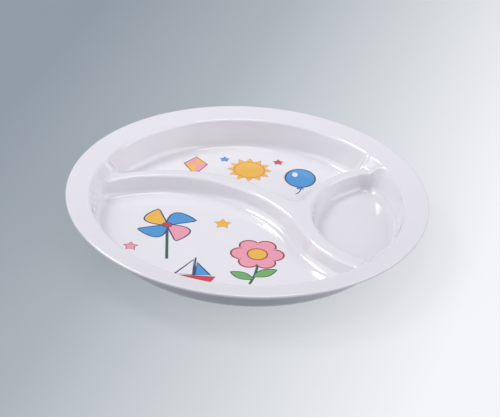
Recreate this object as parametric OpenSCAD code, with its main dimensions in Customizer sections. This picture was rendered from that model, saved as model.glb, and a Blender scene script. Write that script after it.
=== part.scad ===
// Round plate with three wells, moulded in one piece with a sloping rim.
// The dividers are low ridges that rise into the rim at their ends and are open from below.
// Millimetres, Z up. The origin is on the table, under the centre of the plate.

/* [Plate] */
// Outer diameter of the rim
plate_diameter = 230; // [200:1:270]
// Height from the table to the top of the rim
plate_height = 26; // [24:0.5:30]
// Thickness of the moulded wall
wall = 2.2; // [2:0.1:2.8]
// Width of the rim, from its outer edge to the edge of the wells
rim_width = 13.4; // [10:0.1:16]
// Slope of the rim, rising outward, in degrees
rim_slope = 9.5; // [6:0.5:12]

/* [Wells] */
// Height of the well floors above the table
floor_height = 4.8; // [4:0.1:5.4]
// Lean of the well walls from upright, in degrees
wall_draft = 15; // [12:0.5:18]
// Radius between a well's floor and its walls
floor_fillet = 6; // [4:0.1:7]
// Radius along the top edges of the wells
edge_round = 2.5; // [1.8:0.1:3]
// Radius of the wells' corners in plan, at the floor
corner_floor = 4; // [3:0.1:5]
// Radius of the front and side wells' corners in plan, at the top of the dividers
corner_radius = 15; // [11:0.5:17]
// Radius of the narrow corners in plan, at the top of the dividers
narrow_radius = 7; // [5:0.1:8]
// Radius of the rear well's corner between the two dividers, at their top
fork_radius = 8; // [5:0.5:14]

/* [Dividers] */
// Height of the dividers above the well floors
divider_height = 11.7; // [10:0.1:14]
// Width of the flat along the top of the divider between the front and side wells
divider_width = 6.1; // [4.5:0.1:7]
// Width of the flat along the top of the divider between the rear and side wells
rear_width = 2.6; // [2:0.1:4]
// Width of the flat along the top of the divider between the front and rear wells, near the side well
sweep_width = 7; // [6.8:0.1:8]
// How much narrower that flat gets toward the rim
sweep_taper = 5.1; // [3:0.1:5.1]
// Distance of the side well's centre from the plate's centre, as a share of the plate's radius
side_centre_share = 0.852; // [0.82:0.002:0.88]
// Direction of the side well's centre from the plate's centre, in degrees
side_turn = -1; // [-5:0.1:3]
// Radius of the side well's round divider, as a share of the plate's radius
side_radius_share = 0.512; // [0.49:0.001:0.53]
// Radius of the front well's round divider, as a share of the plate's radius
sweep_radius_share = 0.783; // [0.75:0.001:0.81]
// Direction in which the front divider leaves the side divider, in degrees
sweep_turn = 20.3; // [18:0.1:23]

/* [Printed foils] */
// Thickness of a printed foil
foil_thickness = 0.4; // [0.3:0.05:0.5]
// Thickness of the clear glaze over a foil
glaze_thickness = 0.3; // [0.2:0.05:0.4]
// Bare margin between a foil and the edge of its floor
foil_margin = 2; // [1.5:0.1:3]

/* [Foot] */
// Diameter of the foot ring as a share of the floor's diameter
foot_share = 0.97; // [0.94:0.005:0.975]
// Width of the foot ring
foot_width = 4; // [3:0.1:6]

/* [Hidden] */

$fn = 180;
overrun = 1;
// Longest facet along a well's outline, and facets round a corner, up a fillet and round a section's corner
outline_pitch = 6;
// How much closer the facets lie toward a side's ends
end_crowding = 0.55;
corner_steps = 8;
fillet_steps = 5;
round_steps = 4;
profile_steps = 5;
// How far a well's rounded top edge passes above the surface that it runs out into, and where it ends
edge_lift = 0.12;
edge_end = 80;
edge_tries = 8;
// Sharpest corner of an outline
corner_least = 1;
// Length over which a divider's top climbs into the rim
climb_length = 9;
climb_steps = 8;
rim_underside_fillet = 2.4;
// How much rounder the outside of the wall turns into the underside than its inside into the floor
outer_ease = 2.3;
foot_edge = 0.5;
foot_height = floor_height - wall;

// The rim: a sloping flange with a round lip
plate_radius = plate_diameter / 2;
lip = wall / 2;
lip_centre = [plate_radius - lip, plate_height - lip];
lip_share = 0.98;
inner_radius = plate_radius - rim_width;
function rim_middle_z(r) = lip_centre[1] + (r - lip_centre[0]) * tan(rim_slope);
function rim_top_z(r) = rim_middle_z(r) + lip / cos(rim_slope);
function rim_under_z(r) = rim_middle_z(r) - lip / cos(rim_slope);
rim_inner_z = rim_top_z(inner_radius);
rim_depth = rim_inner_z - floor_height;
crest_z = floor_height + divider_height;

// Sideways reach of a well's wall, from the floor's edge to the top of a wall of height h
function wall_start(h) = h - edge_round * (1 - sin(wall_draft));
function wall_run(h) = wall_start(h) - floor_fillet * (1 - sin(wall_draft));
function reach(h) = (floor_fillet + edge_round) * cos(wall_draft) + wall_run(h) * tan(wall_draft);

// Circles that bound the floors in plan
centre = [0, 0];
floor_radius = inner_radius - reach(rim_depth);
side_centre = polar(plate_radius * side_centre_share, side_turn);
side_radius = plate_radius * side_radius_share;
sweep_radius = plate_radius * sweep_radius_share;
sweep_span = side_radius + divider_width + sweep_radius;
sweep_centre = side_centre - polar(sweep_span, sweep_turn);
// The rear edge of the front divider is a circle shifted along the divider, which tapers it
taper_turn = -34;
taper_centre = sweep_centre + polar(sweep_taper, taper_turn);
divider_reach = reach(divider_height);

// One side of a well: [centre, radius at the floor, growth outward, corner to the next side, its radius].
// The well lies inside a growing circle and outside a shrinking one. The corner is the crossing on the
// left (1) or right (-1) of the line between the two centres, or 0 where the two circles just touch.
function inside(c, r, turn) = [c, r - divider_reach, 1, turn, corner_radius];
function outside(c, r, turn, corner = narrow_radius) = [c, r + divider_reach, -1, turn, corner];
function around(turn, corner) = [centre, floor_radius, 1, turn, corner];
front_well = [
    around(-1, narrow_radius),
    outside(side_centre, side_radius + divider_width, 0),
    inside(sweep_centre, sweep_radius, 1)
];
rear_well = [
    around(-1, narrow_radius),
    outside(taper_centre, sweep_radius + sweep_width, 1, fork_radius),
    outside(side_centre, side_radius + rear_width, -1)
];
side_well = [around(1, corner_radius), inside(side_centre, side_radius, 1)];

// Plan geometry
function heading(v) = atan2(v[1], v[0]);
function polar(r, a) = r * [cos(a), sin(a)];
function crossing_at(c, u, along, r, turn) =
    c + along * u + turn * sqrt(r * r - along * along) * [-u[1], u[0]];
function crossing(c1, r1, c2, r2, turn) =
    let (d = norm(c2 - c1))
    crossing_at(c1, (c2 - c1) / d, (d * d + r1 * r1 - r2 * r2) / (2 * d), r1, turn);
function turned(a, growth) = growth > 0 ? (a + 720) % 360 : -((720 - a) % 360);

// The outline at a distance d outside a floor's edge: its corner radius, corner centres and arcs
function corner_at(side, d) =
    max(corner_least, corner_floor + (side[4] - corner_floor) * d / divider_reach);
function side_at(well, i) = well[(i + len(well)) % len(well)];
function radius_at(side, d) = side[1] + side[2] * d;
function knot(a, b, d, r) =
    a[3] == 0 ? a[0] + radius_at(a, d) * (b[0] - a[0]) / norm(b[0] - a[0])
    : crossing(a[0], radius_at(a, d) - a[2] * r, b[0], radius_at(b, d) - b[2] * r, a[3]);
function knot_at(well, i, d) =
    knot(side_at(well, i), side_at(well, i + 1), d, corner_at(side_at(well, i), d));
function arc_start(well, i, d) = heading(knot_at(well, i - 1, d) - side_at(well, i)[0]);
function arc_sweep(well, i, d) =
    let (s = side_at(well, i))
    turned(heading(knot_at(well, i, d) - s[0]) - arc_start(well, i, d), s[2]);
function corner_heading(side, k) = heading(side[2] > 0 ? k - side[0] : side[0] - k);

// Stations round a well as [side, 0 for the side or 1 for the corner after it, share of the way along]
function side_facets(well, i) =
    ceil(abs(arc_sweep(well, i, 0)) * PI / 180 * side_at(well, i)[1] / outline_pitch);
function stations(well) = [for (i = [0 : len(well) - 1]) each concat(
    let (n = side_facets(well, i)) [for (k = [0 : n - 1]) [i, 0, k / n]],
    well[i][3] == 0 ? [] : [for (k = [0 : corner_steps - 1]) [i, 1, k / corner_steps]])];
function side_place(well, s, d) =
    let (side = side_at(well, s[0]))
    let (along = s[2] - end_crowding * sin(360 * s[2]) / (2 * PI))
    side[0] + polar(radius_at(side, d), arc_start(well, s[0], d) + arc_sweep(well, s[0], d) * along);
function corner_place(well, s, d) =
    let (k = knot_at(well, s[0], d), a = corner_heading(side_at(well, s[0]), k))
    let (b = corner_heading(side_at(well, s[0] + 1), k))
    k + polar(corner_at(side_at(well, s[0]), d), a + turned(b - a, 1) * s[2]);
function place(well, s, d) = s[1] == 0 ? side_place(well, s, d) : corner_place(well, s, d);
function outline(well, d) = [for (s = stations(well)) place(well, s, d)];

// Surface that the wells are cut into: the dividers' tops, climbing into the rim near the wall
function climb(u) = u * u * (3 - 2 * u);
function climb_share(r) = max(0, min(1, (r - inner_radius + climb_length) / climb_length));
function top_z(r) = crest_z + (rim_inner_z - crest_z) * climb(climb_share(r));

// Height of a well's wall at a station: where its top edge meets that surface
function edge_height(well, s, h, tries) =
    tries == 0 ? h
    : edge_height(well, s, top_z(norm(place(well, s, reach(h)))) - floor_height, tries - 1);

// Points [distance, height] up a wall of height h: floor fillet, leaning wall, rounded edge, clear above
function fillet_profile() =
    [for (i = [0 : fillet_steps]) let (a = (90 - wall_draft) * i / fillet_steps)
        floor_fillet * [sin(a), 1 - cos(a)]];
function round_profile(h) =
    [for (i = [0 : round_steps]) let (a = wall_draft + (edge_end - wall_draft) * i / round_steps)
        [reach(h) - edge_round * cos(a), h + edge_lift - edge_round * (1 - sin(a))]];
function clear_profile(h) =
    [[reach(h) - edge_round * cos(edge_end), plate_height - floor_height + overrun]];
function wall_profile(h) = concat(fillet_profile(), round_profile(h), clear_profile(h));

// Cutter for a well: rings of points from the floor up, with the foil's shallow pocket below them
module well_cutter(well, middle, pocket) {
    places = stations(well);
    walls = [for (s = places) let (p = wall_profile(edge_height(well, s, rim_depth, edge_tries)))
        [for (q = p) concat(place(well, s, q[0]), floor_height + q[1])]];
    inset = [for (z = pocket > 0 ? [floor_height - pocket, floor_height] : [])
        [for (s = places) concat(place(well, s, -foil_margin), z)]];
    rings = concat(inset, [for (k = [0 : len(walls[0]) - 1]) [for (w = walls) w[k]]]);
    n = len(places);
    last = len(rings) - 1;
    points = concat([for (ring = rings) each ring],
        [concat(middle, rings[0][0][2]), concat(middle, rings[last][0][2])]);
    sides = [for (k = [0 : last - 1]) for (j = [0 : n - 1]) let (m = (j + 1) % n)
        each [[k * n + j, (k + 1) * n + j, (k + 1) * n + m], [k * n + j, (k + 1) * n + m, k * n + m]]];
    base = [for (j = [0 : n - 1]) [(last + 1) * n, j, (j + 1) % n]];
    lid = [for (j = [0 : n - 1]) [(last + 1) * n + 1, last * n + (j + 1) % n, last * n + j]];
    polyhedron(points, concat(base, sides, lid));
}

// Middles of the floors, from which every point of an outline can be seen
middle_share = 0.88;
front_middle = (knot_at(front_well, 0, 0) + knot_at(front_well, 2, 0)) / 2 - [0, floor_radius / 8];
rear_middle = polar(floor_radius * middle_share,
    heading(knot_at(rear_well, 0, 0) + knot_at(rear_well, 2, 0)));
side_middle = (knot_at(side_well, 0, 0) + knot_at(side_well, 1, 0)) / 2;

// A polygon with its corners rounded: each corner is [point, radius]
function rounded_corner(a, b, c, r) =
    let (u = (a - b) / norm(a - b), v = (c - b) / norm(c - b), half = acos(u * v) / 2)
    let (m = b + (u + v) / norm(u + v) * r / sin(half), s = heading(b - m), turn = 90 - half)
    let (sign = u[0] * v[1] - u[1] * v[0] < 0 ? 1 : -1)
    [for (i = [-profile_steps : 2 : profile_steps]) m + polar(r, s + sign * turn * i / profile_steps)];
function rounded(corners) =
    let (n = len(corners))
    [for (i = [0 : n - 1]) each corners[i][1] == 0 ? [corners[i][0]]
        : rounded_corner(corners[(i + n - 1) % n][0], corners[i][0], corners[(i + 1) % n][0], corners[i][1])];

// Section of the moulding before the wells are cut: outward underneath, round the lip and back over the top
foot_outer = floor_radius * foot_share;
outer_lean = tan(wall_draft);
outer_base = floor_radius + floor_fillet * (cos(wall_draft) - (1 - sin(wall_draft)) * outer_lean);
function outer_wall_r(z) = outer_base + wall / cos(wall_draft) + (z - floor_height) * outer_lean;
under_meet = (outer_wall_r(0) + outer_lean * rim_under_z(0)) / (1 - outer_lean * tan(rim_slope));
lip_along = polar(lip, rim_slope);
lip_across = polar(lip, rim_slope + 90);
top_surface = [for (i = [climb_steps : -1 : 0])
    let (r = inner_radius - climb_length * (1 - i / climb_steps)) [[r, top_z(r)], 0]];
section = concat([
    [[0, foot_height], 0],
    [[foot_outer - foot_width, foot_height], 0],
    [[foot_outer - foot_width, 0], foot_edge],
    [[foot_outer, 0], foot_edge],
    [[foot_outer, foot_height], 0],
    [[outer_wall_r(foot_height), foot_height], floor_fillet + wall + outer_ease],
    [[under_meet, rim_under_z(under_meet)], rim_underside_fillet],
    [lip_centre + lip_along - lip_across, lip * lip_share],
    [lip_centre + lip_along + lip_across, lip * lip_share]
], top_surface, [[[0, crest_z], 0]]);

module blank() {
    rotate_extrude() polygon(rounded(section));
}

// Grooves under the dividers, which leave one wall thickness over them and end inside the foot ring.
// A web of the same thickness stays between each two where the dividers meet.
groove_top = crest_z - wall;
function groove_half(width) = width / 2 - wall / 4;
groove_spread = divider_reach - floor_fillet + wall / 4;
// Spread of a groove's sides where the cut comes out below the plate
groove_mouth = groove_spread * (groove_top + overrun) / (groove_top - foot_height);
groove_clip = foot_outer - foot_width - wall;
side_groove = side_radius + divider_width / 2;
rear_groove = side_radius + rear_width / 2;
sweep_least = sweep_width - sweep_taper;
sweep_groove = sweep_radius + sweep_least / 2;
// Run from where the two dividers touch to where their grooves are a wall apart
groove_parting = sqrt((groove_half(sweep_least) + groove_half(rear_width) + 2 * groove_spread + wall)
    * 2 / (1 / rear_groove + 1 / sweep_groove));
function web_turn(r) = wall / 2 / r * 180 / PI;
rear_turn = groove_parting / rear_groove * 180 / PI;
groove_turn = 100;

module groove(c, r, width, first) {
    half = groove_half(width);
    translate(c) rotate(first) rotate_extrude(angle = groove_turn) polygon([
        [r - half - groove_mouth, -overrun],
        [r + half + groove_mouth, -overrun],
        [r + half, groove_top],
        [r - half, groove_top]
    ]);
}

module grooves() {
    intersection() {
        cylinder(r = groove_clip, h = plate_height);
        union() {
            groove(sweep_centre, sweep_groove, sweep_least, sweep_turn + web_turn(sweep_groove));
            groove(side_centre, side_groove, divider_width, 180 + sweep_turn + web_turn(side_groove));
            groove(side_centre, rear_groove, rear_width, 180 + sweep_turn - rear_turn - groove_turn);
        }
    }
}

module plate_body() {
    color("white") difference() {
        blank();
        well_cutter(front_well, front_middle, foil_thickness + glaze_thickness);
        well_cutter(rear_well, rear_middle, foil_thickness + glaze_thickness);
        well_cutter(side_well, side_middle, 0);
        grooves();
    }
}

module layer(well, below, thickness) {
    translate([0, 0, floor_height - below]) linear_extrude(thickness) polygon(outline(well, -foil_margin));
}

module front_foil() {
    color("lightblue") layer(front_well, foil_thickness + glaze_thickness, foil_thickness);
}

module rear_foil() {
    color("lightblue") layer(rear_well, foil_thickness + glaze_thickness, foil_thickness);
}

module front_glaze() {
    color("azure", 0.3) layer(front_well, glaze_thickness, glaze_thickness);
}

module rear_glaze() {
    color("azure", 0.3) layer(rear_well, glaze_thickness, glaze_thickness);
}

plate_body();
front_foil();
rear_foil();
front_glaze();
rear_glaze();
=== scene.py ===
# %% [markdown]
# # A divided compartment plate
# The plate is one melamine moulding: a round dish with a sloping rim and three wells. Low dividers part
# the wells and climb into the rim. Two of the wells have a printed foil under a clear glaze.
# The CAD model gives the frame, the sizes and the separate pieces. It could be shown as it is, but its
# facets would show in so glossy a surface. So this script lays smooth skins in the same places and gives
# them finishes, and nothing is moved or resized.

# %% Set up the frame
import math

import bpy
import numpy as np
from mathutils import Matrix, Vector
from mathutils.geometry import delaunay_2d_cdt


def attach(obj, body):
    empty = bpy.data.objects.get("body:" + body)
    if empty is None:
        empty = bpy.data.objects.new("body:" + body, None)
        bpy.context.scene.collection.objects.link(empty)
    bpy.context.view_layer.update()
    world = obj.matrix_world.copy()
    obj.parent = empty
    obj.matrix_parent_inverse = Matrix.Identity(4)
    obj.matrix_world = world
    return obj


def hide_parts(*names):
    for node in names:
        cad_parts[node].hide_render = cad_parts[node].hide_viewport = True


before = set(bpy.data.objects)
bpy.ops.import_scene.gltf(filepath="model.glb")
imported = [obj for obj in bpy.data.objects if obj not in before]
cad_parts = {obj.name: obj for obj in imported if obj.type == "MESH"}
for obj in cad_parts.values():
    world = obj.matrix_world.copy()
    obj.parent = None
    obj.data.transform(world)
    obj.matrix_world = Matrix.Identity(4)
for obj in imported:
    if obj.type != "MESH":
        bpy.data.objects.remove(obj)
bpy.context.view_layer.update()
print("frame nodes:", sorted(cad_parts))

# %% [markdown]
# ## Sizes
# The moulding is described in millimetres, as on a drawing, and a mesh is scaled to metres when it is made.
# Metres could be typed everywhere, but the many zeros would be hard to read.
# A few sizes drive all the others: the outside, the rim, the floors and the walls of the wells.

# %% Sizes of the moulding
MM = 0.001  # one millimetre in metres
PLATE_R = 115.0  # outer radius of the rim
PLATE_H = 26.0  # from the table to the top of the rim
WALL = 2.2  # thickness of the moulding
RIM_WIDTH = 13.4  # from the outer edge to the edge of the wells
RIM_SLOPE = math.radians(9.5)  # the rim rises outward
FLOOR_Z = 4.8  # height of the wells' floors
DRAFT = math.radians(15.0)  # lean of the walls from upright
FILLET = 6.0  # radius between a floor and its walls
EDGE = 2.5  # radius along the walls' top edges
CREST = 11.7  # height of the dividers above the floors

INNER_R = PLATE_R - RIM_WIDTH
LIP = WALL / 2
LIP_R, LIP_Z = PLATE_R - LIP, PLATE_H - LIP
CREST_Z = FLOOR_Z + CREST
print(f"rim from {INNER_R:.1f} to {PLATE_R:.1f} mm, dividers' tops at {CREST_Z:.1f} mm")

# %% [markdown]
# A well's wall has three parts: a fillet on the floor, a leaning straight part and a rounded top edge.
# How far it reaches sideways could be measured on a drawing. Here it follows from the two radii, the lean
# and the height of the wall, so a wall of any height meets the surface above it.


# %% Height of the rim and reach of a wall
def polar(r, a):
    """Point at distance r in direction a, for numbers or arrays."""
    return np.stack([r * np.cos(a), r * np.sin(a)], axis=-1)


def rim_z(r):
    """Height of the rim's top at radius r: a straight line that touches the round lip and rises outward."""
    return LIP_Z + (r - LIP_R) * math.tan(RIM_SLOPE) + LIP / math.cos(RIM_SLOPE)


def reach(h):
    """Sideways distance from a floor's edge to the top edge of a wall of height h: two arcs and a lean."""
    straight = h - (FILLET + EDGE) * (1 - math.sin(DRAFT))
    return (FILLET + EDGE) * math.cos(DRAFT) + straight * math.tan(DRAFT)


RIM_IN_Z = float(rim_z(INNER_R))
CREST_REACH = reach(CREST)
FLOOR_R = INNER_R - reach(RIM_IN_Z - FLOOR_Z)
print(f"floor radius {FLOOR_R:.1f} mm, well depth at the rim {RIM_IN_Z - FLOOR_Z:.1f} mm")

# %% [markdown]
# ## Outlines of the wells
# Seen from above, each well is bounded by arcs: the round wall of the plate and the round dividers.
# The outlines could be curves that Blender offsets, but an offset curve leaves no say in its corners.
# With circles it is plain arithmetic. At a distance d outside the floor's edge, a side that bulges outward
# has a radius larger by d and a side that bulges inward has one smaller by d.

# %% Circles of the dividers
SIDE_CENTRE_SHARE, SIDE_R_SHARE, SWEEP_R_SHARE = 0.852, 0.512, 0.783
SIDE_TURN = math.radians(-1.0)
SWEEP_TURN = math.radians(20.3)
TAPER_TURN = math.radians(-34.0)
SIDE_FRONT, SIDE_REAR = 6.1, 2.6  # widths of the side divider's top, toward the front and the rear well
SWEEP, TAPER = 7.0, 5.1  # width of the sweeping divider's top, and how much it narrows toward the rim

SIDE_C = polar(SIDE_CENTRE_SHARE * PLATE_R, SIDE_TURN)
SIDE_R, SWEEP_R = SIDE_R_SHARE * PLATE_R, SWEEP_R_SHARE * PLATE_R
SWEEP_C = SIDE_C - polar(SIDE_R + SIDE_FRONT + SWEEP_R, SWEEP_TURN)
TAPER_C = SWEEP_C + polar(TAPER, TAPER_TURN)
print("centres of the dividers:", SIDE_C.round(1), SWEEP_C.round(1), TAPER_C.round(1))

# %% [markdown]
# Each well is now a list of sides, in the order in which one meets them going round. The front and rear
# wells have three sides and the side well has two. A side also says how its corner with the next is rounded.

# %% Sides of the wells
CORNER, NARROW, FORK = 15.0, 7.0, 8.0
ROUND = (np.zeros(2), FLOOR_R)


def side(circle, growth, turn, corner=NARROW):
    """One side: centre, radius at the floor, growth outward, where the next side is met, corner radius."""
    return {"c": circle[0], "r": circle[1], "g": growth, "turn": turn, "corner": corner}


def within(c, r):
    """Floor circle of a wall that stands inside the circle c, r of a divider's top edge."""
    return c, r - CREST_REACH


def beyond(c, r):
    """Floor circle of a wall that stands outside the circle c, r of a divider's top edge."""
    return c, r + CREST_REACH


WELLS = {
    "front": [side(ROUND, 1, -1), side(beyond(SIDE_C, SIDE_R + SIDE_FRONT), -1, 0),
              side(within(SWEEP_C, SWEEP_R), 1, 1, CORNER)],
    "rear": [side(ROUND, 1, -1), side(beyond(TAPER_C, SWEEP_R + SWEEP), -1, 1, FORK),
             side(beyond(SIDE_C, SIDE_R + SIDE_REAR), -1, -1)],
    "side": [side(ROUND, 1, 1, CORNER), side(within(SIDE_C, SIDE_R), 1, 1, CORNER)],
}
print("sides of the wells:", {name: len(sides) for name, sides in WELLS.items()})

# %% [markdown]
# A corner is a small arc that touches both sides. It could be a bevel, but the corner gets wider on the way
# up the wall, as the mould's does, so its centre is worked out for each height: it is where two circles
# cross that lie one corner radius inside the sides.

# %% Corners and arcs
FLOOR_CORNER = 4.0  # radius of all corners at the floor
LEAST_CORNER = 1.0


def heading(v):
    """Direction of a plan vector, as an angle."""
    return np.arctan2(v[..., 1], v[..., 0])


def knot(a, b, d):
    """Centre and radius of the corner between sides a and b at distance d, or their touching point."""
    r = np.maximum(LEAST_CORNER, FLOOR_CORNER + (a["corner"] - FLOOR_CORNER) * d / CREST_REACH)
    ra, rb = a["r"] + a["g"] * d, b["r"] + b["g"] * d
    span = np.linalg.norm(b["c"] - a["c"])
    u = (b["c"] - a["c"]) / span
    if a["turn"] == 0:
        return a["c"] + ra[:, None] * u, r
    ra, rb = ra - a["g"] * r, rb - b["g"] * r
    along = (span**2 + ra**2 - rb**2) / (2 * span)
    across = a["turn"] * np.sqrt(ra**2 - along**2)
    return a["c"] + along[:, None] * u + across[:, None] * np.array([-u[1], u[0]]), r


def turned(a, growth):
    """Angle a brought into one full turn, forward for a growing side and backward for a shrinking one."""
    return np.mod(a, 2 * np.pi) if growth > 0 else -np.mod(-a, 2 * np.pi)


def side_arc(sides, i, d):
    """Start angle and sweep of side i's arc at distances d, from the corner before it to the one after."""
    s, before, after = sides[i], sides[i - 1], sides[(i + 1) % len(sides)]
    start = heading(knot(before, s, d)[0] - s["c"])
    return start, turned(heading(knot(s, after, d)[0] - s["c"]) - start, s["g"])


print("sweep of the round sides:", {name: side_arc(sides, 0, np.zeros(1))[1].round(2).tolist()
                                    for name, sides in WELLS.items()})

# %% [markdown]
# The outline is cut into stations, as a tape measure would be laid round it. A station keeps its share of
# the way along its arc at every height, so the points of one station make a clean line up the wall.


# %% Stations round a well
def run(i, kind, n):
    """Rows of [side, 0 on the side or 1 on the corner after it, share of the way along]."""
    return np.column_stack([np.full(n, i), np.full(n, kind), np.arange(n) / n])


def stations(sides, pitch=0.9, corner_steps=16):
    """Rows of all the stations of a well, about one pitch apart on the sides."""
    rows = []
    for i, s in enumerate(sides):
        sweep = side_arc(sides, i, np.zeros(1))[1][0]
        rows.append(run(i, 0, math.ceil(abs(sweep) * s["r"] / pitch)))
        rows.append(run(i, 1, corner_steps if s["turn"] else 0))
    return np.concatenate(rows)


def place(sides, rows, d):
    """Plan points of the stations at distances d outside the floor's edge, one distance per station."""
    d = np.broadcast_to(np.asarray(d, float), len(rows))
    out = np.zeros((len(rows), 2))
    for i, s in enumerate(sides):
        on = (rows[:, 0] == i) & (rows[:, 1] == 0)
        start, sweep = side_arc(sides, i, d[on])
        out[on] = s["c"] + polar(s["r"] + s["g"] * d[on], start + sweep * rows[on, 2])
        on = (rows[:, 0] == i) & (rows[:, 1] == 1)
        after = sides[(i + 1) % len(sides)]
        k, r = knot(s, after, d[on])
        a, b = heading(s["g"] * (k - s["c"])), heading(after["g"] * (k - after["c"]))
        out[on] = k + polar(r, a + turned(b - a, 1) * rows[on, 2])
    return out


ROWS = {name: stations(sides) for name, sides in WELLS.items()}
print("stations round each well:", {name: len(rows) for name, rows in ROWS.items()})

# %% [markdown]
# ## Height of the walls
# A divider's top is level in the middle of the plate and climbs into the rim at its ends, so the height of
# a wall changes from station to station. It could be cut off by a boolean, which leaves a ragged edge.
# Here it is found by repeating: guess the height, see where the wall's top edge then lies, and read the
# height of the surface there.

# %% Heights of the walls
CLIMB = 9.0  # length over which a divider climbs into the rim


def top_z(r):
    """Height of the dividers' tops and the rim at radius r, with a smooth step between the two."""
    u = np.clip((r - INNER_R + CLIMB) / CLIMB, 0, 1)
    return np.where(r > INNER_R, rim_z(r), CREST_Z + (RIM_IN_Z - CREST_Z) * u * u * (3 - 2 * u))


def wall_heights(sides, rows, passes=40):
    """Height of the wall above the floor at each station, by repeated guesses."""
    h = np.full(len(rows), RIM_IN_Z - FLOOR_Z)
    for _ in range(passes):
        r = np.linalg.norm(place(sides, rows, reach(h)), axis=1)
        h = top_z(np.minimum(r, INNER_R)) - FLOOR_Z
    return h


HEIGHTS = {name: wall_heights(sides, ROWS[name]) for name, sides in WELLS.items()}
EDGES = {name: place(sides, ROWS[name], reach(HEIGHTS[name])) for name, sides in WELLS.items()}
print("wall heights:", {name: (round(h.min(), 1), round(h.max(), 1)) for name, h in HEIGHTS.items()})

# %% [markdown]
# ## Skins of the wells
# Each well is a sheet on a grid: one parameter runs round the outline, the other goes up the wall. It could
# be a solid cut out of a disc, but a grid gives even faces that a glossy finish needs. The sheet starts on
# the floor at the edge of the foil and ends at the top edge of the wall.

# %% Skins of the three wells
FOIL_MARGIN = 2.0
MARGIN_SHARES = (1.0, 0.5)


def wall_columns(h, fillet_steps=11, edge_steps=12):
    """Distances and heights up walls of heights h: fillet arc, leaning line and rounded top edge."""
    a = np.linspace(0, np.pi / 2 - DRAFT, fillet_steps)[:, None]
    fillet = np.array([FILLET * np.sin(a) + 0 * h, FILLET * (1 - np.cos(a)) + 0 * h])
    low = fillet[:, -1:]
    high = np.array([[reach(h) - EDGE * math.cos(DRAFT)], [h - EDGE * (1 - math.sin(DRAFT))]])
    lean = low + np.array([0.25, 0.5, 0.75])[:, None] * (high - low)
    a = np.linspace(DRAFT, np.pi / 2, edge_steps)[:, None]
    edge = np.array([reach(h) - EDGE * np.cos(a), h - EDGE * (1 - np.sin(a))])
    return np.concatenate([fillet, lean, edge], axis=1)


def grid_faces(rows, cols):
    """Quads of a grid stored row after row, whose second parameter closes on itself."""
    j = np.arange(cols)
    a = (np.arange(rows - 1)[:, None] * cols + j).ravel()
    b = (np.arange(rows - 1)[:, None] * cols + (j + 1) % cols).ravel()
    return np.stack([a, b, b + cols, a + cols], axis=1)


def well_sheet(name):
    """Grid of points from the foil's edge on the floor to the top edge of the wall."""
    sides, rows, h = WELLS[name], ROWS[name], HEIGHTS[name]
    rings = [(place(sides, rows, -FOIL_MARGIN * share), FLOOR_Z + 0 * h) for share in MARGIN_SHARES]
    rings += [(place(sides, rows, d), FLOOR_Z + z) for d, z in zip(*wall_columns(h))]
    points = np.array([np.column_stack(ring) for ring in rings])
    return points.reshape(-1, 3), grid_faces(len(rings), len(rows))[:, ::-1]


SHEETS = [well_sheet(name) for name in WELLS]
print("sheet points:", [len(points) for points, _ in SHEETS])

# %% [markdown]
# ## Cutting a plan into triangles
# Several flat or nearly flat surfaces here have odd outlines with holes. Blender could fill them with long
# thin faces. A constrained triangulation is better: it keeps every outline as it is, uses extra points
# where they are given, and tells for each triangle which of the outlines it lies in.

# %% Helpers for the cutting
WELD_DIGITS = 4  # decimals of a millimetre at which points count as one
INSIDE_ONLY = 1  # keeps the triangles that lie in an outline
CUT_EPSILON = 1e-6


def turns_left(loop):
    """True for an outline that runs counter-clockwise: twice its area is a positive sum."""
    x, y = loop.T
    return np.sum(x * np.roll(y, -1) - np.roll(x, -1) * y) > 0


def cut_plan(loops, extra=()):
    """Triangles inside the first outline: plan points, faces and the last outline that each face lies in.

    Given points keep their exact places, and a triangle that the welding would close is left out.
    """
    loops = [p if turns_left(p) else p[::-1] for p in loops]
    starts = np.cumsum([0] + [len(p) for p in loops])
    faces = [list(range(a, b)) for a, b in zip(starts[:-1], starts[1:])]
    given = np.concatenate([*loops, *extra])
    verts, _, tris, origin, _, source = delaunay_2d_cdt(
        [Vector(p) for p in given], [], faces, INSIDE_ONLY, CUT_EPSILON)
    plan = np.array([given[o[0]] if o else v for v, o in zip(verts, origin)])
    spot = np.unique(np.round(plan, WELD_DIGITS), axis=0, return_inverse=True)[1].ravel()
    inside = [(tri, max(s)) for tri, s in zip(tris, source) if 0 in s and len(set(spot[tri])) == 3]
    return plan, np.array([tri for tri, _ in inside]), np.array([s for _, s in inside])


def raised(plan, z):
    """Plan points lifted to the height z, for one height or one per point."""
    return np.column_stack([plan, np.broadcast_to(z, len(plan))])


def flat_fill(outer, holes, z, up=True):
    """Flat face at height z inside an outline and outside the holes, facing up or down."""
    plan, tris, last = cut_plan([outer, *holes])
    tris = tris[last == 0]
    return raised(plan, z), tris if up else tris[:, ::-1]


side_floor = flat_fill(place(WELLS["side"], ROWS["side"], -FOIL_MARGIN), [], FLOOR_Z)
print("side well's floor:", len(side_floor[1]), "triangles")

# %% [markdown]
# ## Tops of the dividers
# Between the wells' top edges and a circle on the rim lies one surface with three holes. Its plan is cut
# into triangles on a fine lattice of points, and each point is lifted to the height of the surface there.
# Lofting each divider by itself would leave seams where the dividers meet.

# %% Fill the top between the wells
TURNS = 480
AROUND = np.linspace(0, 2 * np.pi, TURNS, endpoint=False)
BORDER_WIDTH = 3.0
RIM_BORDER = INNER_R + BORDER_WIDTH
LATTICE_HALF, LATTICE_PITCH = 105, 1.3
BORDER_CLEAR, EDGE_CLEAR = 0.8, 0.7


def gap_to(points, outline):
    """Distance from each point to the nearest point of a closed outline."""
    return np.min(np.linalg.norm(points[:, None] - outline[None], axis=2), axis=1)


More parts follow.
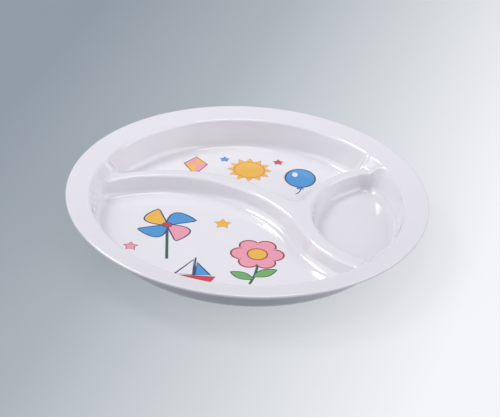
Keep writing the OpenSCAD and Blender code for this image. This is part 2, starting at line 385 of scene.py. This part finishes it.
border = polar(RIM_BORDER, AROUND)
ticks = np.arange(-LATTICE_HALF, LATTICE_HALF, LATTICE_PITCH)
lattice = np.stack(np.meshgrid(ticks, ticks), -1).reshape(-1, 2)
lattice = lattice[np.linalg.norm(lattice, axis=1) < RIM_BORDER - BORDER_CLEAR]
lattice = lattice[np.min([gap_to(lattice, edge) for edge in EDGES.values()], axis=0) > EDGE_CLEAR]
plan, tris, last = cut_plan([border, *EDGES.values()], [lattice])
tops = (raised(plan, top_z(np.linalg.norm(plan, axis=1))), tris[last == 0])
print("top triangles:", len(tops[1]))

# %% [markdown]
# ## Rim, outer wall and foot
# Everything outside the border is round. It could be made with the Screw modifier; here one section is
# turned about the plate's axis as an array, so its points meet those of the border. The section runs from
# the rim over the half-round lip, along the rim's underside, down the outer wall and round the foot ring.

# %% Sizes of the outside
FOOT_SHARE, FOOT_WIDTH = 0.97, 4.0
FOOT_OUT = FLOOR_R * FOOT_SHARE
FOOT_IN = FOOT_OUT - FOOT_WIDTH
FOOT_Z = FLOOR_Z - WALL
RIM_ROOT, FOOT_ROOT, FOOT_EDGE = 2.4, 0.4, 0.5  # corner radii under the rim and at the foot ring
HEEL_EXTRA = 2.3
HEEL = FILLET + WALL + HEEL_EXTRA  # corner radius between the outer wall and the underside
LEAN = math.tan(DRAFT)
WALL_BASE = FLOOR_R + FILLET * (math.cos(DRAFT) - (1 - math.sin(DRAFT)) * LEAN) + WALL / math.cos(DRAFT)


def outer_r(z):
    """Radius of the outer wall at height z: the line of the well's wall, one wall thickness further out."""
    return WALL_BASE + (z - FLOOR_Z) * LEAN


def under_z(r):
    """Height of the rim's underside at radius r: the line of its top, one wall thickness lower."""
    return rim_z(r) - 2 * LIP / math.cos(RIM_SLOPE)


meet = (outer_r(0) + LEAN * under_z(0)) / (1 - LEAN * math.tan(RIM_SLOPE))
print(f"foot ring {2 * FOOT_OUT:.1f} mm across, outer wall meets the rim at {meet:.1f} mm")

# %% [markdown]
# A mould has no knife-sharp inner corners. A Bevel modifier would round all of them alike, so each corner
# of the section has a radius of its own and is rounded by an arc before the section is turned.

# %% Section of the outside
LIP_STEPS, RIM_STEPS = 19, 8


def round_corner(a, b, c, r, n=9):
    """Points of an arc of radius r that rounds the corner b between a and c."""
    u, v = (a - b) / np.linalg.norm(a - b), (c - b) / np.linalg.norm(c - b)
    half = math.acos(float(np.clip(u @ v, -1, 1))) / 2
    m = b + (u + v) / np.linalg.norm(u + v) * r / math.sin(half)
    way = 1 if u[0] * v[1] - u[1] * v[0] < 0 else -1
    return m + polar(r, heading(b - m) + way * (np.pi / 2 - half) * np.linspace(-1, 1, n))


lip_arc = np.array([LIP_R, LIP_Z]) + polar(LIP, RIM_SLOPE + np.linspace(np.pi / 2, -np.pi / 2, LIP_STEPS))
rim_r = np.linspace(RIM_BORDER, lip_arc[0, 0], RIM_STEPS)[:-1]
corners = np.array([lip_arc[-1], (meet, under_z(meet)), (outer_r(FOOT_Z), FOOT_Z), (FOOT_OUT, FOOT_Z),
                    (FOOT_OUT, 0.0), (FOOT_IN, 0.0), (FOOT_IN, FOOT_Z)])
radii = (RIM_ROOT, HEEL, FOOT_ROOT, FOOT_EDGE, FOOT_EDGE)
rounded = [round_corner(*three, r) for *three, r in zip(corners, corners[1:], corners[2:], radii)]
section = np.concatenate([np.column_stack([rim_r, rim_z(rim_r)]), lip_arc, *rounded, corners[-1:]])
outside = np.stack([section[:, :1] * np.cos(AROUND), section[:, :1] * np.sin(AROUND),
                    np.repeat(section[:, 1:], TURNS, axis=1)], axis=-1).reshape(-1, 3)
print(f"outside: {len(section)} points of section, widest {section[:, 0].max():.1f} mm")

# %% [markdown]
# ## Underside
# The dividers are open from below, as in a moulding of even thickness: a groove follows each one inside the
# foot ring. A groove could be a bevelled curve, but it has to end in the flat underside without a gap. So
# its mouth is cut out of the flat face, its roof is a second flat face and its sides are a strip between.

# %% Paths of the grooves
GROOVE_TOP = CREST_Z - WALL
SPREAD = CREST_REACH - FILLET + WALL / 4
LEAST = SWEEP - TAPER


def groove_half(width):
    """Half the width of a groove's roof under a divider whose top has this width."""
    return width / 2 - WALL / 4


def web(r):
    """Angle of half a wall thickness on a circle of radius r, which stays solid at a groove's start."""
    return WALL / 2 / r


rear_r, front_r, sweep_r = SIDE_R + SIDE_REAR / 2, SIDE_R + SIDE_FRONT / 2, SWEEP_R + LEAST / 2
room = groove_half(LEAST) + groove_half(SIDE_REAR) + 2 * SPREAD + WALL
parting = math.sqrt(room * 2 / (1 / rear_r + 1 / sweep_r))
GROOVES = [(SWEEP_C, sweep_r, groove_half(LEAST), SWEEP_TURN + web(sweep_r), 1),
           (SIDE_C, front_r, groove_half(SIDE_FRONT), math.pi + SWEEP_TURN + web(front_r), 1),
           (SIDE_C, rear_r, groove_half(SIDE_REAR), math.pi + SWEEP_TURN - parting / rear_r, -1)]
print(f"grooves: {len(GROOVES)}, roofs at {GROOVE_TOP:.1f} mm, rear groove starts {parting:.1f} mm along")

# %% [markdown]
# A groove's outline goes out along one arc, along a circle just inside the foot ring and back along a
# second arc. The roof has as many points as the mouth, so one strip of quads joins them without a twist.

# %% Faces of the underside
CLIP_R = FOOT_IN - WALL  # circle on which the grooves end


def groove_outline(c, r, half, first, way, n=60, clip_steps=12):
    """Closed outline of a groove: out along one arc to the end circle and back along the other."""
    def arc(radius):
        """Points from the first angle to where a circle of this radius meets the end circle."""
        cosine = (CLIP_R**2 - c @ c - radius**2) / (2 * radius * np.linalg.norm(c))
        end = heading(c) + np.array([1, -1]) * math.acos(cosine)
        sweep = min(np.mod(way * (end - first), 2 * np.pi))
        return c + polar(radius, first + way * np.linspace(0, sweep, n))
    inner, outer = arc(r - half), arc(r + half)
    a, b = heading(inner[-1]), heading(outer[-1])
    b = a + np.mod(b - a + np.pi, 2 * np.pi) - np.pi
    clip = polar(CLIP_R, np.linspace(a, b, clip_steps)[1:-1])
    loop = np.concatenate([inner, clip, outer[::-1]])
    return loop if turns_left(loop) else loop[::-1]


mouths = [groove_outline(c, r, half + SPREAD, first, way) for c, r, half, first, way in GROOVES]
roofs = [groove_outline(*groove) for groove in GROOVES]
under = [flat_fill(polar(FOOT_IN, AROUND), mouths, FOOT_Z, False)]
under += [flat_fill(roof, [], GROOVE_TOP, False) for roof in roofs]
for mouth, roof in zip(mouths, roofs):
    strip = np.concatenate([raised(mouth, FOOT_Z), raised(roof, GROOVE_TOP)])
    under.append((strip, grid_faces(2, len(mouth))[:, ::-1]))
print("underside faces:", sum(len(faces) for _, faces in under))

# %% [markdown]
# ## The plate body
# All the sheets are joined in one mesh, because the real plate is one moulding. Points that two sheets share
# are welded, and the mesh is shaded smooth with its sharp corners kept: smooth normals alone would smear
# the light across the grooves' corners. The body stands for the CAD node of the same name.

# %% Make the plate body
SHARP_FROM = math.radians(35)  # edges that turn by more than this stay sharp


def make_piece(name, parts, smooth=True):
    """One mesh object in metres from (points in mm, faces) parts, with shared points welded."""
    starts = np.cumsum([0] + [len(points) for points, _ in parts])
    points = np.concatenate([points for points, _ in parts])
    _, keep, weld = np.unique(np.round(points, WELD_DIGITS), axis=0, return_index=True, return_inverse=True)
    faces = []
    for (_, part_faces), start in zip(parts, starts):
        faces += weld.ravel()[part_faces + start].tolist()
    mesh = bpy.data.meshes.new(name)
    mesh.from_pydata((points[keep] * MM).tolist(), [], faces)
    mesh.polygons.foreach_set("use_smooth", np.full(len(mesh.polygons), smooth))
    mesh.set_sharp_from_angle(angle=SHARP_FROM)
    mesh.update()
    piece = bpy.data.objects.new(name, mesh)
    bpy.context.scene.collection.objects.link(piece)
    return piece


turned_outside = (outside, grid_faces(len(section), TURNS)[:, ::-1])
body = make_piece("plate_body_skin", [*SHEETS, tops, turned_outside, *under, side_floor])
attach(body, "root")
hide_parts("plate_body")
print("plate body faces:", len(body.data.polygons))

# %% [markdown]
# ## Printed foils
# Melamine tableware is decorated with a printed paper foil that is pressed into the surface in the mould.
# A print could be an image on the floor, which blurs when one comes close. Here the foil is one flat sheet
# that is cut along the outlines of the printed shapes, so each region takes its own ink and its edge stays
# sharp. The shapes are closed outlines, in millimetres, each from a short formula.


# %% Round and pointed outlines
def disc(x, y, r, squash=1.0, n=48):
    """Ellipse about x, y with half-axes r and r times squash."""
    t = np.linspace(0, 2 * np.pi, n, endpoint=False)
    return np.array([x, y]) + np.column_stack([r * np.cos(t), r * squash * np.sin(t)])


def petals(x, y, r, count, depth, blunt=0.6, n=160):
    """Flower line: the radius swells and shrinks count times, as a blunted cosine."""
    t = np.linspace(0, 2 * np.pi, n, endpoint=False)
    return np.array([x, y]) + polar(r * (1 - depth + depth * np.abs(np.cos(count * t / 2)) ** blunt), t)


def star(x, y, r, count=5, waist=0.48):
    """Pointed star: corners lie in turn on an outer circle and on an inner one, waist times as large."""
    k = np.arange(2 * count)
    return np.array([x, y]) + polar(np.where(k % 2 == 0, r, waist * r), np.pi / 2 + k * np.pi / count)


def turned_shape(x, y, points, angle):
    """Points turned by an angle about the origin and moved to x, y."""
    c, s = math.cos(angle), math.sin(angle)
    return np.array([x, y]) + points @ np.array([[c, s], [-s, c]])


def leaf(x, y, length, width, angle, n=24):
    """Pointed leaf: two half sine waves between its ends."""
    t = np.linspace(0, 1, n)
    bulge = width / 2 * np.sin(np.pi * t)
    back = np.column_stack([length * t, bulge])[::-1][1:-1]
    return turned_shape(x, y, np.concatenate([np.column_stack([length * t, -bulge]), back]), angle)


print("corners of a star and a flower line:", len(star(0, 0, 1)), len(petals(0, 0, 1, 6, 0.3)))

# %% [markdown]
# Lines are printed shapes too: a stem, a string or the dark edge round a shape. A curve with a bevel would
# be a second object, so a line is made a narrow band, and an edge is a larger copy that is printed first.


# %% Lines and edges of shapes
def bend(a, b, bow, n=14):
    """Points of a line from a to b that bows sideways as a parabola."""
    a, b, t = np.array(a, float), np.array(b, float), np.linspace(0, 1, n)[:, None]
    sideways = np.array([a[1] - b[1], b[0] - a[0]])
    return a + (b - a) * t + sideways * bow * 4 * t * (1 - t)


def stroke(points, width):
    """Band along a line of points: half the width to each side, square to the line."""
    t = np.gradient(points, axis=0)
    n = np.column_stack([-t[:, 1], t[:, 0]]) / np.linalg.norm(t, axis=1)[:, None]
    return np.concatenate([points + n * width / 2, (points - n * width / 2)[::-1]])


def grown(shape, by):
    """Outline with each point moved outward, square to the line between its neighbours."""
    t = np.roll(shape, -1, axis=0) - np.roll(shape, 1, axis=0)
    n = np.column_stack([t[:, 1], -t[:, 0]]) / np.linalg.norm(t, axis=1)[:, None]
    return shape + n * by


def outlined(shape, ink, line, width=1.1):
    """A shape with a line round it, as two layers of (outline, ink): the line lies below."""
    return [(grown(shape, width), line), (shape, ink)]


print("layers of an outlined disc:", [ink for _, ink in outlined(disc(0, 0, 5), "sky", "navy")])

# %% [markdown]
# The motifs are simple toys and garden things, in flat inks with a dark line round them. Each is a list of
# layers in the order of printing, and its inner measures are shares of its size r.


# %% Motifs of the front well
def pinwheel(x, y, r):
    """Four folded blades on a stick: each blade is a straight line and a half wave, turned by a quarter."""
    layers = [(stroke(bend((x, y), (x + 0.12 * r, y - 2.05 * r), 0.0), 1.9), "green")]
    t = np.linspace(0, 1, 16)
    fold = np.column_stack([r * (1 - t), r * 0.62 * np.sin(np.pi * t) ** 0.8])[1:-1]
    blade = np.concatenate([np.column_stack([r * t, 0 * t]), fold])
    for k, ink in enumerate(("sky", "yellow", "sky", "pink")):
        layers += outlined(turned_shape(x, y, blade, k * np.pi / 2 + 0.35), ink, "navy", 1.0)
    return layers + outlined(disc(x, y, 0.13 * r), "red", "navy", 0.8)


def flower(x, y, r):
    """Flower line with a round middle, on a bowed stem with two leaves."""
    foot = (x - 0.25 * r, y - 2.1 * r)
    layers = [(stroke(bend((x, y), foot, 0.06), 1.7), "green")]
    layers += outlined(leaf(x - 0.1 * r, y - 1.55 * r, 1.0 * r, 0.42 * r, 0.55), "leaf", "green", 0.8)
    layers += outlined(leaf(x - 0.12 * r, y - 1.75 * r, 0.95 * r, 0.4 * r, 2.7), "leaf", "green", 0.8)
    layers += outlined(petals(x, y, r, 6, 0.34), "pink", "maroon")
    return layers + outlined(disc(x, y, 0.36 * r), "yellow", "maroon", 0.9)


def boat(x, y, r):
    """Hull of four corners, a mast and two sails of three corners."""
    at = np.array([x, y])
    hull = at + r * np.array([(-1, -0.35), (-0.72, -0.85), (0.72, -0.85), (1, -0.35)])
    back = at + r * np.array([(-0.09, 1.0), (-0.85, -0.2), (-0.09, -0.2)])
    fore = at + r * np.array([(0.09, 0.8), (0.09, -0.2), (0.72, -0.2)])
    layers = [(stroke(bend(at + (0, -0.4 * r), at + (0, 1.25 * r), 0.0), 1.2), "navy")]
    layers += outlined(hull, "red", "maroon", 1.0)
    return layers + outlined(back, "paper", "navy", 1.4) + outlined(fore, "sky", "navy", 1.4)


print("layers:", {make.__name__: len(make(0, 0, 10)) for make in (pinwheel, flower, boat)})

# %% [markdown]
# The rear well is narrower, so its three motifs are smaller. They are made in the same way.


# %% Motifs of the rear well
def kite(x, y, r):
    """Four-cornered kite in four fields round a hub, with a bowed tail."""
    tip, foot, hub = np.array([x, y + r]), np.array([x, y - 1.25 * r]), np.array([x, y + 0.15 * r])
    left, right = hub - (0.72 * r, 0), hub + (0.72 * r, 0)
    layers = [(stroke(bend(foot, foot + (1.3 * r, -0.1 * r), 0.12), 0.8), "navy")]
    layers += [(grown(np.array([tip, left, foot, right]), 1.0), "maroon")]
    fields = ((tip, left, "pink"), (left, foot, "yellow"), (foot, right, "pink"), (right, tip, "yellow"))
    return layers + [(np.array([a, b, hub]), ink) for a, b, ink in fields]


def sun(x, y, r):
    """Disc on a star of twelve short rays."""
    rays = outlined(star(x, y, 1.55 * r, 12, 0.68), "yellow", "orange", 0.5)
    return rays + outlined(disc(x, y, r), "yellow", "orange", 0.8)


def balloon(x, y, r):
    """Tall ellipse with a three-cornered knot, a bowed string and a bright spot."""
    layers = [(stroke(bend((x, y - 1.2 * r), (x - 0.3 * r, y - 2.2 * r), 0.15, 24), 0.8), "navy")]
    layers += outlined(star(x, y - 1.32 * r, 0.24 * r, 3, 0.6), "sky", "navy", 0.6)
    layers += outlined(disc(x, y, r, 1.18), "sky", "navy")
    return layers + [(disc(x - 0.38 * r, y + 0.45 * r, 0.2 * r, 1.5), "paper")]


print("layers:", {make.__name__: len(make(0, 0, 10)) for make in (kite, sun, balloon)})

# %% [markdown]
# The layout scatters the motifs over the floors, with small stars between them. A row of MOTIFS gives the
# motif and its x, y and size in millimetres, and a row of STARS gives a star's x, y and size, its ink and
# the ink and width of its line.

# %% Layout of the prints
MOTIFS = {
    "front": [(pinwheel, -50, -9, 19), (flower, 8, -37, 16), (boat, -30, -61, 13)],
    "rear": [(kite, -36, 67.5, 10), (sun, 0, 65, 9.6), (balloon, 34, 58, 9.4)],
}
STARS = {
    "front": [(-15, -4, 5.5, "yellow", "orange", 0.6), (-71, -36, 4.6, "pink", "maroon", 0.6),
              (-7, -78, 4.4, "sky", "navy", 0.6)],
    "rear": [(19, 77, 3.6, "red", "maroon", 0.5), (-17, 77, 3.2, "sky", "navy", 0.5)],
}


def print_layers(well):
    """All the printed layers of one well, in the order of printing."""
    layers = [layer for make, *at in MOTIFS[well] for layer in make(*at)]
    for x, y, r, *style in STARS[well]:
        layers += outlined(star(x, y, r), *style)
    return layers


PRINTS = {well: print_layers(well) for well in MOTIFS}
print("printed layers:", {well: len(layers) for well, layers in PRINTS.items()})

# %% [markdown]
# A foil's outline and all its shapes go through the cutting together. The shape that was printed last gives
# a triangle its ink, as with real inks, and each ink is a material slot of the sheet.

# %% Cut the foils
INKS = ("paper", "sky", "yellow", "pink", "red", "green", "leaf", "navy", "maroon", "orange")
FOIL_SINK = 0.01
FOIL_Z = FLOOR_Z - FOIL_SINK


def foil_edge(well):
    """Outline of a well's foil: the edge of its floor, less the bare margin."""
    return place(WELLS[well], ROWS[well], -FOIL_MARGIN)


def foil(well):
    """Flat printed sheet of one well, with an ink number for each face."""
    numbers = np.array([0] + [INKS.index(ink) for _, ink in PRINTS[well]])
    plan, tris, last = cut_plan([foil_edge(well)] + [shape for shape, _ in PRINTS[well]])
    piece = make_piece(f"{well}_foil_sheet", [(raised(plan, FOIL_Z), tris)], False)
    piece.data.polygons.foreach_set("material_index", numbers[last])
    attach(piece, "root")
    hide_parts(f"{well}_foil")
    return piece


foils = {well: foil(well) for well in PRINTS}
print("foil faces:", {well: len(piece.data.polygons) for well, piece in foils.items()})

# %% [markdown]
# ## Clear glaze
# A thin clear layer of melamine is pressed over each foil. It could be a solid of glass, which costs many
# bounces of light and shows no more. It shows only as gloss, so here it is a flat film that lets nearly all
# the light through, over a foil that has the gloss itself.

# %% Make the glazes
GLAZE_RISE = 0.005
GLAZE_Z = FLOOR_Z + GLAZE_RISE


def glaze(well):
    """Flat clear film over the foil of one well."""
    piece = make_piece(f"{well}_glaze_film", [flat_fill(foil_edge(well), [], GLAZE_Z)], False)
    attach(piece, "root")
    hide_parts(f"{well}_glaze")
    return piece


glazes = {well: glaze(well) for well in PRINTS}
print("glaze faces:", {well: len(piece.data.polygons) for well, piece in glazes.items()})

# %% [markdown]
# ## Gloss of melamine
# Melamine comes out of a polished mould with a hard gloss. One plain roughness would do, but the highlights
# then look computed. So the roughness wanders a little over the surface, as soft noise on the object's own
# coordinates. The body and all the inks share this effect, so it is a node group that is built once.


# %% Node group of the gloss
def colour(r, g, b):
    """Colour given as 0 to 255 screen values, as linear values for the shader."""
    c = np.array([r, g, b]) / 255
    return (*np.where(c <= 0.04045, c / 12.92, ((c + 0.055) / 1.055) ** 2.4), 1.0)


def gloss_group():
    """Node group: noise on Object coordinates, brought into a narrow range of roughness."""
    tree = bpy.data.node_groups.new("melamine_gloss", "ShaderNodeTree")
    tree.interface.new_socket("Roughness", in_out="OUTPUT", socket_type="NodeSocketFloat")
    where = tree.nodes.new("ShaderNodeTexCoord")
    noise = tree.nodes.new("ShaderNodeTexNoise")
    noise.inputs["Scale"].default_value = 28.0
    noise.inputs["Detail"].default_value = 3.0
    spread = tree.nodes.new("ShaderNodeMapRange")
    spread.inputs["To Min"].default_value = 0.10
    spread.inputs["To Max"].default_value = 0.16
    out = tree.nodes.new("NodeGroupOutput")
    tree.links.new(where.outputs["Object"], noise.inputs["Vector"])
    tree.links.new(noise.outputs["Fac"], spread.inputs["Value"])
    tree.links.new(spread.outputs["Result"], out.inputs["Roughness"])
    return tree


GLOSS = gloss_group()
print("gloss group nodes:", len(GLOSS.nodes))

# %% [markdown]
# ## Colours
# New white ware has a faint lavender tone. The paper of the foils is a little whiter, and part of that step
# is
# painted light: it makes up for the faint shade that the clear film over the foil casts. A clear coat adds
# the bright mirror of a polished moulding to the softer gloss below. The inks have the same gloss, because
# the glaze covers them, so one function makes them all.

# %% Melamine and inks
# paper is lighter than white partly as painted light, which offsets the faint shade of the film over the
# foil
TONES = {"white": (236, 235, 238), "paper": (239, 238, 241), "sky": (58, 152, 218),
         "yellow": (245, 188, 58), "pink": (244, 160, 178), "red": (214, 38, 52), "green": (24, 92, 66),
         "leaf": (110, 178, 92), "navy": (22, 62, 112), "maroon": (156, 24, 62), "orange": (226, 140, 44)}


def melamine(name, tone):
    """Glossy coated melamine of one colour."""
    m = bpy.data.materials.new(name)
    m.use_nodes = True
    shader = m.node_tree.nodes["Principled BSDF"]
    shader.inputs["Base Color"].default_value = colour(*tone)
    shader.inputs["IOR"].default_value = 1.55
    shader.inputs["Coat Weight"].default_value = 1.0
    shader.inputs["Coat Roughness"].default_value = 0.06
    gloss = m.node_tree.nodes.new("ShaderNodeGroup")
    gloss.node_tree = GLOSS
    m.node_tree.links.new(gloss.outputs["Roughness"], shader.inputs["Roughness"])
    return m


inks = {name: melamine(f"melamine_{name}", tone) for name, tone in TONES.items()}
body.data.materials.append(inks["white"])
for piece in foils.values():
    for ink in INKS:
        piece.data.materials.append(inks[ink])
print("melamine colours:", len(inks))

# %% [markdown]
# The glaze itself needs only a trace of colour. Transmission would bend the light, so the film is made
# see-through with Alpha, which lets the rays pass straight on to the foil.


# %% Clear film
def clear_film(name):
    """Glossy film that is almost wholly see-through."""
    m = bpy.data.materials.new(name)
    m.use_nodes = True
    shader = m.node_tree.nodes["Principled BSDF"]
    shader.inputs["Base Color"].default_value = colour(*TONES["white"])
    shader.inputs["Roughness"].default_value = 0.08
    shader.inputs["Alpha"].default_value = 0.01
    return m


film = clear_film("clear_glaze")
for piece in glazes.values():
    piece.data.materials.append(film)
print("materials so far:", len(bpy.data.materials))

# %% [markdown]
# ## Ground
# The plate stands on a plain pale ground that goes from grey-blue at the left back to near white at the
# right front. Lamps could paint that change, but they would tint the plate too. So it is a colour ramp
# across the ground. Rays from the camera and from the gloss see it mostly as its own glow, with a share of
# lit ground that keeps a faint shadow. All other rays see a darker tone, so little light bounces up.

# %% Plane of the ground
GROUND_HALF, GROUND_Z = 6.0, -0.0002
SQUARE = ((-1, -1), (1, -1), (1, 1), (-1, 1))
ground_corners = [(x * GROUND_HALF, y * GROUND_HALF, GROUND_Z) for x, y in SQUARE]
floor_mesh = bpy.data.meshes.new("ground")
floor_mesh.from_pydata(ground_corners, [], [(0, 1, 2, 3)])
ground = bpy.data.objects.new("ground", floor_mesh)
bpy.context.scene.collection.objects.link(ground)
print("ground:", 2 * GROUND_HALF, "m wide")

# %% [markdown]
# The finish has three parts, each in its own function: the ramp of colours, the test of which rays look at
# the ground, and the mix of glow and lit ground. The Light Path node stays in the material itself.

# %% Finish of the ground
RAMP_WAY, RAMP_FROM, RAMP_TO = (0.961, -0.276, 0.0), -0.204, 0.150
RAMP_MIDDLE = 0.376
RAMP_TONES = ((145, 155, 165), (173, 182, 188), (246, 247, 249))
BOUNCE_TONE = (112, 121, 138)
GLOW_SHARE = 0.75
MIX_A, MIX_B, MIX_RESULT = 6, 7, 2  # sockets of the Mix node that hold colours


def ground_ramp(n, link):
    """Colour ramp along one direction of the ground, read off as a dot product."""
    where, along = n.new("ShaderNodeTexCoord"), n.new("ShaderNodeVectorMath")
    span, ramp = n.new("ShaderNodeMapRange"), n.new("ShaderNodeValToRGB")
    along.operation = "DOT_PRODUCT"
    along.inputs[1].default_value = RAMP_WAY
    span.inputs["From Min"].default_value = RAMP_FROM
    span.inputs["From Max"].default_value = RAMP_TO
    ramp.color_ramp.elements.new(RAMP_MIDDLE)
    for stop, tone in zip(ramp.color_ramp.elements, RAMP_TONES):
        stop.color = colour(*tone)
    link(where.outputs["Object"], along.inputs[0])
    link(along.outputs["Value"], span.inputs["Value"])
    link(span.outputs["Result"], ramp.inputs["Fac"])
    return ramp.outputs["Color"]


def seen_rays(n, link):
    """One for rays from the camera, from gloss and through clear pieces, and zero for all others."""
    path, seen, mirrored = n.new("ShaderNodeLightPath"), n.new("ShaderNodeMath"), n.new("ShaderNodeMath")
    seen.operation = mirrored.operation = "MAXIMUM"
    link(path.outputs["Is Glossy Ray"], mirrored.inputs[0])
    link(path.outputs["Is Transmission Ray"], mirrored.inputs[1])
    link(path.outputs["Is Camera Ray"], seen.inputs[0])
    link(mirrored.outputs["Value"], seen.inputs[1])
    return seen.outputs["Value"]


def ground_finish():
    """Pale ground: a share of glow in the ramp's colour and the rest lit, or a darker lit tone."""
    m = bpy.data.materials.new("pale_ground")
    m.use_nodes = True
    n, link = m.node_tree.nodes, m.node_tree.links.new
    ramp, seen = ground_ramp(n, link), seen_rays(n, link)
    lit, tone, share = n["Principled BSDF"], n.new("ShaderNodeMix"), n.new("ShaderNodeMath")
    lit.inputs["Roughness"].default_value = 0.9
    tone.data_type = "RGBA"
    tone.inputs[MIX_A].default_value = colour(*BOUNCE_TONE)
    share.operation = "MULTIPLY"
    share.inputs[1].default_value = GLOW_SHARE
    glow, mix = n.new("ShaderNodeEmission"), n.new("ShaderNodeMixShader")
    link(seen, tone.inputs[0])
    link(ramp, tone.inputs[MIX_B])
    link(tone.outputs[MIX_RESULT], lit.inputs["Base Color"])
    link(seen, share.inputs[0])
    link(ramp, glow.inputs["Color"])
    link(share.outputs["Value"], mix.inputs["Fac"])
    link(lit.outputs["BSDF"], mix.inputs[1])
    link(glow.outputs["Emission"], mix.inputs[2])
    link(mix.outputs["Shader"], n["Material Output"].inputs["Surface"])
    return m


floor_mesh.materials.append(ground_finish())
print("ground nodes:", len(floor_mesh.materials[0].node_tree.nodes))

# %% [markdown]
# ## Light
# White ware shows its form only by small steps of grey. A soft pale sky lights the plate from everywhere,
# and two wide lamps at the sides light the walls. A small lamp at the left back draws the short streaks on
# the dividers' round edges, and one overhead draws the fine lines along the fillets. One large lamp would
# be simpler, but its mirror image would be too wide for such streaks.

# %% Sky and lamps
SKY_TONE, SKY_STRENGTH = (227, 224, 236), 0.51
LAMP_AIM = Vector((0, 0, 0.015))
LAMPS = [("key_lamp", (-0.59, 0.34, 0.85), 0.34, 3.0),
         ("top_lamp", (0.12, 0.05, 1.2), 0.5, 2.0),
         ("left_lamp", (-1.7, -0.35, 1.0), 2.0, 14.0),
         ("right_lamp", (1.7, -0.35, 1.0), 2.0, 17.0)]

world = bpy.data.worlds.new("studio")
bpy.context.scene.world = world
world.use_nodes = True
sky = world.node_tree.nodes["Background"]
sky.inputs["Color"].default_value = colour(*SKY_TONE)
sky.inputs["Strength"].default_value = SKY_STRENGTH


def lamp(name, at, size, power):
    """Square soft lamp that faces the plate, with its size in metres and its power in watts."""
    light = bpy.data.lights.new(name, "AREA")
    light.size, light.energy = size, power
    piece = bpy.data.objects.new(name, light)
    bpy.context.scene.collection.objects.link(piece)
    piece.location = at
    piece.rotation_euler = (LAMP_AIM - Vector(at)).to_track_quat("-Z", "Y").to_euler()


for row in LAMPS:
    lamp(*row)
print("lamps:", [name for name, *_ in LAMPS])

# %% [markdown]
# ## Camera
# The camera looks down at the plate from the front with a long lens, a little rolled, as in the photograph.
# It could be turned with Euler angles, but a matrix from the forward and right directions shows plainly
# where it looks, and the roll is one more turn about the line of sight.

# %% Place the camera
LENS, SHIFT_X, SHIFT_Y = 136.66, 0.004, -0.0302
ELEVATION, ROLL, AWAY = math.radians(31.37), math.radians(3.33), 1.2

camera = bpy.data.cameras.new("camera")
camera.lens = LENS
camera.shift_x, camera.shift_y = SHIFT_X, SHIFT_Y
eye = bpy.data.objects.new("camera", camera)
bpy.context.scene.collection.objects.link(eye)
bpy.context.scene.camera = eye
forward = Vector((0, math.cos(ELEVATION), -math.sin(ELEVATION)))
right = Vector((1, 0, 0))
facing = Matrix((right, right.cross(forward), -forward)).transposed() @ Matrix.Rotation(ROLL, 3, "Z")
eye.matrix_world = Matrix.Translation(Vector((0, 0, PLATE_H * MM)) - forward * AWAY) @ facing.to_4x4()
bpy.context.scene.view_settings.view_transform = "Standard"
print("camera at", [round(v, 3) for v in eye.location])
